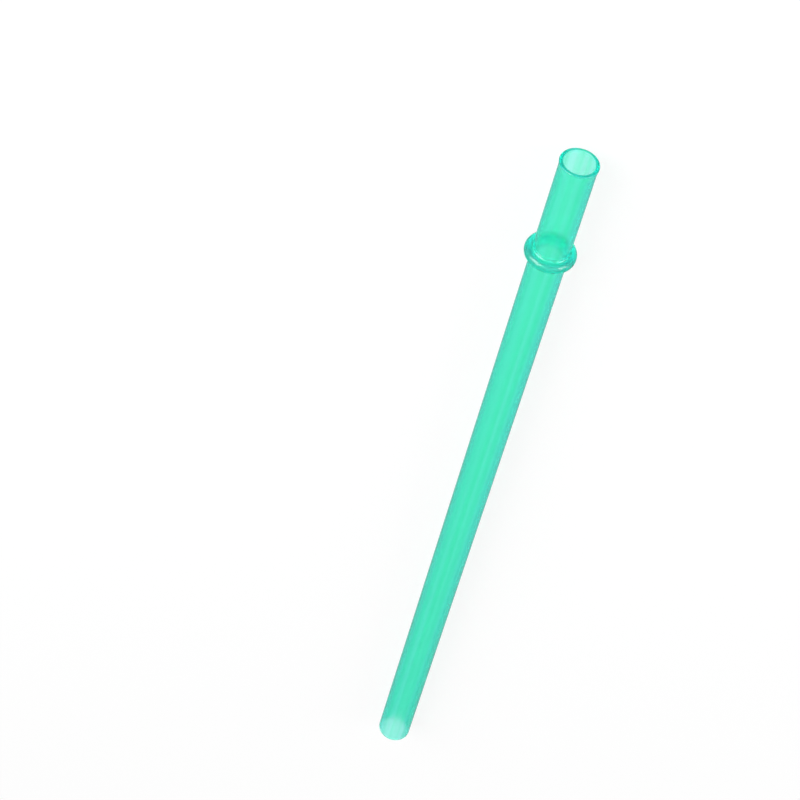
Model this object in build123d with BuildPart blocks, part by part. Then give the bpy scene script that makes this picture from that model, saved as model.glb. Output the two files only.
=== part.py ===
"""Reusable hard plastic drinking straw: a straight see-through tube, open at both ends, whose own
wall is folded outwards near the mouth into a round stopper ring. It is one piece, and it lies on
its ring and on the edge of its lower end, with the mouth towards +X."""

import math
import os

from build123d import *

# Tube
straw_length = 230.0  # mouth to lower end, along the tube
tube_outer_diameter = 8.6
wall_thickness = 0.65
end_edge_radius = 0.15  # soft edges of the square-cut lower end

# Lip of the mouth, rounded by heat, which left it a little thicker than the wall
lip_height = 0.2  # how far the lip stands out from the tube
lip_edge_radius = 0.35  # round outer edge of the lip
lip_root_radius = 10.0  # long hollow curve from the tube out to the lip
lip_bore_edge_radius = 0.25  # rounding where the lip turns into the bore

# Stopper ring, an outward fold of the tube's wall
ring_from_mouth = 28.6  # mouth to the middle of the ring
ring_height = 1.7  # how far the ring stands out from the tube
ring_crest_radius = 1.3  # round rim of the ring
ring_root_radius = 0.6  # hollow curve where the ring grows out of the tube
fold_gap = 0.4  # width of the slit that the fold leaves open to the bore
fold_depth = 0.8  # depth of that slit, outwards from the bore
fold_lip_radius = 0.2  # rounding where the bore turns into the slit

# Radii and places along the tube, from its middle, with the mouth on the plus side
tube_radius = tube_outer_diameter / 2
bore_radius = tube_radius - wall_thickness
ring_radius = tube_radius + ring_height
mouth_end = straw_length / 2
lower_end = -straw_length / 2
ring_middle = mouth_end - ring_from_mouth

# The lip's edge is one arc, which meets the hollow root arc without a corner
lip_edge_center = mouth_end - lip_edge_radius
lip_edge_center_radius = tube_radius + lip_height - lip_edge_radius
lip_drop = tube_radius + lip_root_radius - lip_edge_center_radius
edge_and_root = lip_edge_radius + lip_root_radius
lip_flare = math.sqrt(edge_and_root**2 - lip_drop**2)  # middle of the edge to the end of the root
edge_share = lip_edge_radius / edge_and_root
lip_blend = lip_edge_center - lip_flare * edge_share
lip_blend_radius = lip_edge_center_radius + lip_drop * edge_share
lip_foot = lip_edge_center - lip_flare

# The ring's rim is one arc, which meets a hollow root arc on either side without a corner
crest_center_radius = ring_radius - ring_crest_radius
root_center_radius = tube_radius + ring_root_radius
root_drop = crest_center_radius - root_center_radius
crest_and_root = ring_crest_radius + ring_root_radius
ring_foot = math.sqrt(crest_and_root**2 - root_drop**2)  # ring's middle to the end of its root
crest_share = ring_crest_radius / crest_and_root
ring_blend = ring_foot * crest_share  # ring's middle to where rim and root arcs meet
blend_radius = crest_center_radius - root_drop * crest_share

# The slit inside the ring has parallel sides and a round floor
half_gap = fold_gap / 2
slit_floor_radius = bore_radius + fold_depth
slit_side_radius = slit_floor_radius - half_gap
lip_radius = bore_radius + fold_lip_radius
lip_start = half_gap + fold_lip_radius

# Lying at rest, the ring's rim and the lower end's edge both touch the floor, so the tube slopes
rest_span = ring_middle - lower_end - end_edge_radius
rest_rise = crest_center_radius - (tube_radius - end_edge_radius)
rest_slope = math.atan2(rest_rise, rest_span)
rest_slope += math.asin((ring_crest_radius - end_edge_radius) / math.hypot(rest_span, rest_rise))
ring_axis_height = crest_center_radius * math.cos(rest_slope) + ring_crest_radius
middle_height = ring_axis_height - ring_middle * math.sin(rest_slope)

# Local X of this plane runs up the tube's axis to the mouth, and local Y is the radius
tube_direction = (math.cos(rest_slope), 0, math.sin(rest_slope))
tube_plane = Plane(origin=(0, 0, middle_height), x_dir=tube_direction, z_dir=Plane.XZ.z_dir)
tube_axis = Axis(tube_plane.origin, tube_plane.x_dir)
to_mouth = (1, 0)
outwards = (0, 1)
to_lower_end = (-1, 0)

with BuildPart() as drinking_straw:
    with BuildSketch(tube_plane):
        with BuildLine():
            # Outside, from the mouth's lip over the ring to the lower end
            TangentArc(
                (mouth_end, lip_edge_center_radius),
                (lip_blend, lip_blend_radius),
                tangent=outwards,
            )
            TangentArc(
                (lip_foot, tube_radius),
                (lip_blend, lip_blend_radius),
                tangent=to_mouth,
            )
            Line((lip_foot, tube_radius), (ring_middle + ring_foot, tube_radius))
            TangentArc(
                (ring_middle + ring_foot, tube_radius),
                (ring_middle + ring_blend, blend_radius),
                tangent=to_lower_end,
            )
            ThreePointArc(
                (ring_middle + ring_blend, blend_radius),
                (ring_middle, ring_radius),
                (ring_middle - ring_blend, blend_radius),
            )
            TangentArc(
                (ring_middle - ring_foot, tube_radius),
                (ring_middle - ring_blend, blend_radius),
                tangent=to_mouth,
            )
            Line((ring_middle - ring_foot, tube_radius), (lower_end, tube_radius))
            Line((lower_end, tube_radius), (lower_end, bore_radius))

            # Inside, up the bore, through the slit in the ring and on to the mouth
            Line((lower_end, bore_radius), (ring_middle - lip_start, bore_radius))
            TangentArc(
                (ring_middle - lip_start, bore_radius),
                (ring_middle - half_gap, lip_radius),
                tangent=to_mouth,
            )
            Line((ring_middle - half_gap, lip_radius), (ring_middle - half_gap, slit_side_radius))
            ThreePointArc(
                (ring_middle - half_gap, slit_side_radius),
                (ring_middle, slit_floor_radius),
                (ring_middle + half_gap, slit_side_radius),
            )
            Line((ring_middle + half_gap, slit_side_radius), (ring_middle + half_gap, lip_radius))
            TangentArc(
                (ring_middle + lip_start, bore_radius),
                (ring_middle + half_gap, lip_radius),
                tangent=to_lower_end,
            )
            Line((ring_middle + lip_start, bore_radius), (mouth_end, bore_radius))
            Line((mouth_end, bore_radius), (mouth_end, lip_edge_center_radius))
        make_face()
    revolve(axis=tube_axis)

    # The lower end is cut square with its edges just broken, and the lip runs round into the bore
    edges_along_tube = drinking_straw.edges().filter_by(GeomType.CIRCLE).group_by(tube_axis)
    fillet(edges_along_tube[0], end_edge_radius)
    edges_along_tube = drinking_straw.edges().filter_by(GeomType.CIRCLE).group_by(tube_axis)
    fillet(edges_along_tube[-1].sort_by(SortBy.RADIUS)[0], lip_bore_edge_radius)

drinking_straw.part.label = "drinking_straw"
os.makedirs("parts", exist_ok=True)
export_step(drinking_straw.part, "parts/drinking_straw.step")
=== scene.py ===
import math

import bpy
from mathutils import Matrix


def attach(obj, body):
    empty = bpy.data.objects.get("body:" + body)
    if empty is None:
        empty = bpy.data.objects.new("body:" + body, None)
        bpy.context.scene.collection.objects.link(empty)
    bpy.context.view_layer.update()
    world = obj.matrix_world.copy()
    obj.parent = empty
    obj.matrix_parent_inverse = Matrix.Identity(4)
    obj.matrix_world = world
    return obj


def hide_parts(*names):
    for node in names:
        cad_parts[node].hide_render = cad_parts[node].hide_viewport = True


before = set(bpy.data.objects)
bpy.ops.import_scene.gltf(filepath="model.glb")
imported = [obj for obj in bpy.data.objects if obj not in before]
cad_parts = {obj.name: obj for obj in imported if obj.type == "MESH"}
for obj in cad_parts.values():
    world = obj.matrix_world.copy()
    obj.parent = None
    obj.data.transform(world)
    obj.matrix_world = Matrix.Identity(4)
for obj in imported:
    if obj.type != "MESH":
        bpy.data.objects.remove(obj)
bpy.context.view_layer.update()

scene = bpy.context.scene

# The straw: one extruded tube of see-through green polypropylene. Its mouth was rounded by heat
# into a slightly thicker lip, and further down the warm wall was pushed together and folded out
# into a round stopper ring with a narrow slit inside. It lies on that ring and its lower end.

MM = 0.001
straw_sizes = {
    "Length": 230.0 * MM,
    "Tube Radius": 4.3 * MM,
    "Wall": 0.65 * MM,
    "End Edge": 0.15 * MM,
    "Lip Height": 0.2 * MM,
    "Lip Edge": 0.35 * MM,
    "Lip Root": 10.0 * MM,
    "Lip Bore Edge": 0.25 * MM,
    "Ring From Mouth": 28.6 * MM,
    "Ring Height": 1.7 * MM,
    "Ring Crest": 1.3 * MM,
    "Ring Root": 0.6 * MM,
    "Fold Gap": 0.4 * MM,
    "Fold Depth": 0.8 * MM,
    "Fold Lip": 0.2 * MM,
    "Row Spacing": 2.0 * MM,
    "Merge Distance": 0.002 * MM,
    "Slope": math.radians(0.48399),
    "Middle Height": 5.27 * MM,
}
straw_sides = 160


def feed(tree, socket, value):
    """Gives a socket a plain value, or links it to another node's output."""
    if isinstance(value, bpy.types.NodeSocket):
        tree.links.new(value, socket)
    else:
        socket.default_value = value


def add_node(tree, kind, inputs=(), **settings):
    """Adds a node with its settings and its inputs, which are values or other nodes' outputs."""
    made = tree.nodes.new(kind)
    for name, value in settings.items():
        setattr(made, name, value)
    for name, value in dict(inputs).items():
        feed(tree, made.inputs[name], value)
    return made


def calculated(tree, a, b, operation="ADD"):
    return add_node(tree, "ShaderNodeMath", {0: a, 1: b}, operation=operation).outputs[0]


def revolved_straw_tree():
    """Draws the straw's section as a filleted outline and sweeps it round the tube's axis."""
    tree = bpy.data.node_groups.new("straw_revolved", "GeometryNodeTree")
    for name in straw_sizes:
        tree.interface.new_socket(name, in_out="INPUT", socket_type="NodeSocketFloat")
    tree.interface.new_socket("Sides", in_out="INPUT", socket_type="NodeSocketInt")
    tree.interface.new_socket("Plastic", in_out="INPUT", socket_type="NodeSocketMaterial")
    tree.interface.new_socket("Geometry", in_out="OUTPUT", socket_type="NodeSocketGeometry")
    given = add_node(tree, "NodeGroupInput").outputs

    def plus(a, b):
        return calculated(tree, a, b)

    def less(a, b):
        return calculated(tree, a, b, "SUBTRACT")

    def times(a, b):
        return calculated(tree, a, b, "MULTIPLY")

    def divided(a, b):
        return calculated(tree, a, b, "DIVIDE")

    # Places along the tube from its middle, and radii from its outside, where the sweep runs
    mouth, lower_end = times(given["Length"], 0.5), times(given["Length"], -0.5)
    near_mouth = less(mouth, times(given["Lip Bore Edge"], 2.0))
    near_lower = plus(lower_end, times(given["End Edge"], 3.0))
    outside = 0.0
    bore = less(outside, given["Wall"])
    ring_middle = less(mouth, given["Ring From Mouth"])
    flank_up = plus(ring_middle, given["Ring Crest"])
    flank_down = less(ring_middle, given["Ring Crest"])
    half_gap = times(given["Fold Gap"], 0.5)
    slit_up, slit_down = plus(ring_middle, half_gap), less(ring_middle, half_gap)
    slit_floor = plus(bore, given["Fold Depth"])

    # The lip's outline leaves its round edge on a slant and runs out along the root onto the tube
    lip_span = less(times(plus(given["Lip Edge"], given["Lip Root"]), 2.0), given["Lip Height"])
    lip_flare = calculated(tree, times(lip_span, given["Lip Height"]), 0.5, "POWER")
    lip_slant = divided(lip_flare, lip_span)
    edge_place = less(mouth, given["Lip Edge"])
    lip_top = less(edge_place, times(given["Lip Edge"], lip_slant))
    lip_foot = plus(less(edge_place, lip_flare), times(given["Lip Root"], lip_slant))

    # Corners of the section, from the mouth over the outside and back through the bore: place
    # along the tube, radius, fillet, and points in the fillet
    corners = [
        (mouth, given["Lip Height"], given["Lip Edge"], 8),
        (lip_top, given["Lip Height"], given["Lip Edge"], 3),
        (lip_foot, outside, given["Lip Root"], 10),
        (flank_up, outside, given["Ring Root"], 12),
        (flank_up, given["Ring Height"], given["Ring Crest"], 16),
        (flank_down, given["Ring Height"], given["Ring Crest"], 16),
        (flank_down, outside, given["Ring Root"], 12),
        (near_lower, outside, 0.0, 1),
        (lower_end, outside, given["End Edge"], 6),
        (lower_end, bore, given["End Edge"], 6),
        (near_lower, bore, 0.0, 1),
        (slit_down, bore, given["Fold Lip"], 8),
        (slit_down, slit_floor, half_gap, 10),
        (slit_up, slit_floor, half_gap, 10),
        (slit_up, bore, given["Fold Lip"], 8),
        (near_mouth, bore, 0.0, 1),
        (mouth, bore, given["Lip Bore Edge"], 8),
    ]
    index = add_node(tree, "GeometryNodeInputIndex").outputs[0]

    def by_corner(kind, values):
        """Gives each corner of the outline its own value."""
        switch = add_node(tree, "GeometryNodeIndexSwitch", data_type=kind)
        while len(switch.index_switch_items) < len(values):
            switch.index_switch_items.new()
        for socket, value in zip(switch.inputs, [index, *values]):
            feed(tree, socket, value)
        return switch.outputs[0]

    places = [
        add_node(tree, "ShaderNodeCombineXYZ", {0: radius, 1: along}).outputs[0]
        for along, radius, _, _ in corners
    ]
    outline = add_node(tree, "GeometryNodeMeshLine", {"Count": len(corners)})
    outline = add_node(
        tree,
        "GeometryNodeSetPosition",
        {"Geometry": outline.outputs[0], "Position": by_corner("VECTOR", places)},
    )
    outline = add_node(tree, "GeometryNodeMeshToCurve", {0: outline.outputs[0]})
    outline = add_node(
        tree, "GeometryNodeSetSplineCyclic", {0: outline.outputs[0], "Cyclic": True}
    )
    outline = add_node(
        tree,
        "GeometryNodeFilletCurve",
        {
            "Curve": outline.outputs[0],
            "Radius": by_corner("FLOAT", [fillet for _, _, fillet, _ in corners]),
            "Count": by_corner("INT", [points for _, _, _, points in corners]),
            "Limit Radius": True,
        },
        mode="POLY",
    )

    # Long straight runs get cross rows, so that no face is a long sliver
    along = add_node(tree, "GeometryNodeSplineParameter").outputs["Length"]
    following = add_node(
        tree,
        "GeometryNodeFieldAtIndex",
        {"Value": along, "Index": plus(index, 1.0)},
        data_type="FLOAT",
        domain="POINT",
    )
    run = calculated(tree, less(following.outputs[0], along), 0.0, "MAXIMUM")
    rows = calculated(tree, divided(run, given["Row Spacing"]), 0.0, "FLOOR")
    outline = add_node(tree, "GeometryNodeSubdivideCurve", {0: outline.outputs[0], "Cuts": rows})

    # The section goes round a circle as wide as the tube, and the straw is then laid on the floor
    circle = add_node(
        tree,
        "GeometryNodeCurvePrimitiveCircle",
        {"Resolution": given["Sides"], "Radius": given["Tube Radius"]},
        mode="RADIUS",
    )
    body = add_node(
        tree,
        "GeometryNodeCurveToMesh",
        {"Curve": circle.outputs[0], "Profile Curve": outline.outputs[0]},
    )
    body = add_node(
        tree,
        "GeometryNodeMergeByDistance",
        {"Geometry": body.outputs[0], "Distance": given["Merge Distance"]},
    )
    turn = add_node(tree, "ShaderNodeCombineXYZ", {1: less(-math.pi / 2, given["Slope"])})
    lift = add_node(tree, "ShaderNodeCombineXYZ", {2: given["Middle Height"]})
    body = add_node(
        tree,
        "GeometryNodeTransform",
        {"Geometry": body.outputs[0], "Translation": lift.outputs[0], "Rotation": turn.outputs[0]},
    )
    body = add_node(tree, "GeometryNodeFlipFaces", {0: body.outputs[0]})  # the sweep faces inwards
    body = add_node(tree, "GeometryNodeSetShadeSmooth", {"Geometry": body.outputs[0]})
    body = add_node(tree, "GeometryNodeRealizeInstances", {"Geometry": body.outputs[0]})
    body = add_node(
        tree,
        "GeometryNodeSetMaterial",
        {"Geometry": body.outputs[0], "Material": given["Plastic"]},
    )
    add_node(tree, "NodeGroupOutput", {"Geometry": body.outputs[0]})
    return tree


def green_plastic():
    """See-through green polypropylene, glossy outside, cloudy in the bore, fold and cut ends."""
    material = bpy.data.materials.new("green_plastic")
    material.use_nodes = True
    tree = material.node_tree
    tree.nodes.clear()

    def mask(value, start, end, to_start=0.0, to_end=1.0):
        """Goes from to_start to to_end while the value goes from start to end."""
        sockets = {"Value": value, "From Min": start, "From Max": end}
        sockets.update({"To Min": to_start, "To Max": to_end})
        return add_node(tree, "ShaderNodeMapRange", sockets).outputs[0]

    def mixed(share, a, b):
        mix = add_node(tree, "ShaderNodeMix", {0: share, 2: a, 3: b}, data_type="FLOAT")
        return mix.outputs[0]

    def distance(value, origin):
        offset = calculated(tree, value, origin, "SUBTRACT")
        return add_node(tree, "ShaderNodeMath", {0: offset}, operation="ABSOLUTE").outputs[0]

    # Places along the tube, and distances from its axis, from the middle of the straw
    slope, height = straw_sizes["Slope"], straw_sizes["Middle Height"]
    place = add_node(
        tree,
        "ShaderNodeMapping",
        {
            "Vector": add_node(tree, "ShaderNodeTexCoord").outputs["Object"],
            "Location": (-height * math.sin(slope), 0.0, -height * math.cos(slope)),
            "Rotation": (0.0, slope, 0.0),
        },
    ).outputs[0]
    along = add_node(tree, "ShaderNodeSeparateXYZ", {0: place}).outputs[0]
    across = add_node(
        tree, "ShaderNodeVectorMath", {0: place, 1: (0.0, 1.0, 1.0)}, operation="MULTIPLY"
    ).outputs[0]
    radius = add_node(
        tree, "ShaderNodeVectorMath", {0: across}, operation="LENGTH"
    ).outputs["Value"]

    # Draw lines from the extruder's die run along the tube, with a little less or more dye in them
    line_stretch = (6.0, 1000.0, 1000.0)
    more_dye, less_dye = (0.66, 0.97, 0.74, 1.0), (1.0, 1.0, 0.89, 1.0)
    drawn = add_node(
        tree, "ShaderNodeVectorMath", {0: place, 1: line_stretch}, operation="MULTIPLY"
    ).outputs[0]
    lines = add_node(
        tree,
        "ShaderNodeTexNoise",
        {"Vector": drawn, "Scale": 0.6, "Detail": 1.0, "Roughness": 0.5},
    ).outputs["Fac"]
    streak = mask(lines, 0.38, 0.62)
    tint = add_node(
        tree, "ShaderNodeMix", {"Factor": streak, 6: more_dye, 7: less_dye}, data_type="RGBA"
    ).outputs[2]
    ripple = add_node(
        tree, "ShaderNodeBump", {"Height": lines, "Strength": 0.4, "Distance": 0.05 * MM}
    ).outputs[0]

    # The outside was drawn smooth, the bore cooled in air and the ends were cut. The fold was
    # stretched, so that it is cloudy under a skin that stayed glossy.
    smooth_rough, line_rough, bore_rough, cut_rough = 0.04, 0.10, 0.26, 0.45
    fold_rough, fold_gloss, skin_rough = 0.5, 0.8, 0.08
    half_length, tube_radius = straw_sizes["Length"] / 2, straw_sizes["Tube Radius"]
    in_bore = mask(radius, tube_radius - 0.2 * MM, tube_radius - 0.3 * MM)
    on_outside = calculated(tree, 1.0, in_bore, "SUBTRACT")
    at_end = mask(distance(along, 0.0), half_length - 0.25 * MM, half_length - 0.1 * MM)
    from_ring = distance(along, half_length - straw_sizes["Ring From Mouth"])
    rim_end, root_end, skin_end = 1.2 * MM, 1.9 * MM, 2.3 * MM
    stretched = mask(from_ring, rim_end, root_end, fold_rough, 0.0)
    near_ring = mask(from_ring, root_end, skin_end, fold_gloss, 0.0)
    skin = calculated(tree, near_ring, on_outside, "MULTIPLY")
    rough = mixed(in_bore, mask(streak, 0.0, 1.0, smooth_rough, line_rough), bore_rough)
    rough = mixed(at_end, calculated(tree, rough, stretched), cut_rough)

    plastic = add_node(
        tree,
        "ShaderNodeBsdfPrincipled",
        {
            "Base Color": tint,
            "Roughness": rough,
            "Normal": ripple,
            "Transmission Weight": 1.0,
            "Coat Weight": skin,
            "Coat Roughness": skin_rough,
            "IOR": 1.49,
        },
    )
    # The dye takes out red, so that thick places are a deeper green
    dye = add_node(
        tree,
        "ShaderNodeVolumeAbsorption",
        {"Color": (0.18, 0.997, 0.997, 1.0), "Density": 1500.0},
    )
    add_node(
        tree,
        "ShaderNodeOutputMaterial",
        {"Surface": plastic.outputs[0], "Volume": dye.outputs[0]},
    )
    return material


blank = bpy.data.objects.new("straw_blank", bpy.data.meshes.new("straw_blank"))
scene.collection.objects.link(blank)
forming = blank.modifiers.new("forming", "NODES")
forming.node_group = revolved_straw_tree()
straw_values = {**straw_sizes, "Sides": straw_sides, "Plastic": green_plastic()}
for item in forming.node_group.interface.items_tree:
    if item.in_out == "INPUT":
        forming[item.identifier] = straw_values[item.name]
formed = blank.evaluated_get(bpy.context.evaluated_depsgraph_get())
straw = bpy.data.objects.new("straw", bpy.data.meshes.new_from_object(formed))
scene.collection.objects.link(straw)
bpy.data.objects.remove(blank)
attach(straw, "root")
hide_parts("drinking_straw")

# The floor: a plain pale sheet of paper. It glows white where it is seen past or through the
# straw, weakly where the straw mirrors it, and takes the straw's soft shadow.

sheet_half = 4.0
sheet_mesh = bpy.data.meshes.new("floor_sheet")
sheet_corners = [(-1, -1), (1, -1), (1, 1), (-1, 1)]
sheet_mesh.from_pydata(
    [(sheet_half * x, sheet_half * y, 0.0) for x, y in sheet_corners], [], [(0, 1, 2, 3)]
)
floor_sheet = bpy.data.objects.new("floor_sheet", sheet_mesh)
scene.collection.objects.link(floor_sheet)


def seen_white(tree, mirrored):
    """1 for rays from the camera and through the plastic, mirrored for other reflected rays."""
    rays = add_node(tree, "ShaderNodeLightPath").outputs
    seen = calculated(tree, rays["Is Camera Ray"], rays["Is Transmission Ray"], "MAXIMUM")
    reflected = calculated(tree, rays["Is Glossy Ray"], mirrored, "MULTIPLY")
    return calculated(tree, seen, reflected, "MAXIMUM")


sheet_paper = bpy.data.materials.new("floor_paper")
sheet_paper.use_nodes = True
paper = sheet_paper.node_tree
paper.nodes.clear()
paper_white, paper_mirrored, paper_grey = 0.87, 0.2, (0.1, 0.1, 0.1, 1.0)
paper_glow = calculated(paper, seen_white(paper, paper_mirrored), paper_white, "MULTIPLY")
paper_light = add_node(paper, "ShaderNodeEmission", {"Strength": paper_glow})
paper_matt = add_node(paper, "ShaderNodeBsdfDiffuse", {"Color": paper_grey})
paper_both = add_node(
    paper, "ShaderNodeAddShader", {0: paper_matt.outputs[0], 1: paper_light.outputs[0]}
)
add_node(paper, "ShaderNodeOutputMaterial", {"Surface": paper_both.outputs[0]})
sheet_mesh.materials.append(sheet_paper)

# The light: a broad soft lamp above, a large one on the left and a low one on the right, whose
# highlights lie on the ring and the lip, and white air behind everything.


def soft_lamp(name, place, aim, size, power):
    """A square soft lamp of this size in metres and power in watts that points at aim."""
    light = bpy.data.lights.new(name, "AREA")
    light.shape = "SQUARE"
    light.size = size
    light.energy = power
    lamp = bpy.data.objects.new(name, light)
    scene.collection.objects.link(lamp)
    lamp.location = place
    direction = lamp.location - type(lamp.location)(aim)
    lamp.rotation_euler = direction.to_track_quat("Z", "Y").to_euler()


straw_middle, straw_ring = (0.03, 0.0, 0.0), (0.08, 0.0, 0.0)
soft_lamp("top_lamp", (0.10, -0.30, 0.95), straw_middle, 1.5, 3.5)
soft_lamp("left_lamp", (0.52, 0.66, 0.59), straw_ring, 0.9, 18.0)
soft_lamp("right_lamp", (0.50, -0.80, 0.34), straw_ring, 0.6, 8.0)

scene.world = bpy.data.worlds.new("studio_air")
scene.world.use_nodes = True
air = scene.world.node_tree
air.nodes.clear()
dim_air = 0.15
air_glow = calculated(air, seen_white(air, dim_air), dim_air, "MAXIMUM")
air_light = add_node(
    air, "ShaderNodeBackground", {"Color": (1.0, 1.0, 1.0, 1.0), "Strength": air_glow}
)
add_node(air, "ShaderNodeOutputWorld", {"Surface": air_light.outputs[0]})

# The camera: above the mouth, looking down along the straw, rolled so that the mouth is on top.
# Light takes many turns inside the clear wall before it leaves, so the paths are long.

camera_place = (479.70 * MM, 22.99 * MM, 398.76 * MM)
camera_turn_degrees = (-48.1565, 11.7685, -79.6497)
light_turns = 64
view = bpy.data.cameras.new("photo_camera")
view.sensor_width = 36.0
view.lens = 112.5
view.shift_x, view.shift_y = -0.0016, 0.0005
camera = bpy.data.objects.new("photo_camera", view)
scene.collection.objects.link(camera)
camera.location = camera_place
camera.rotation_euler = [math.radians(angle) for angle in camera_turn_degrees]
scene.camera = camera
scene.view_settings.view_transform = "Standard"
scene.cycles.max_bounces = light_turns
scene.cycles.transmission_bounces = light_turns
scene.cycles.glossy_bounces = light_turns
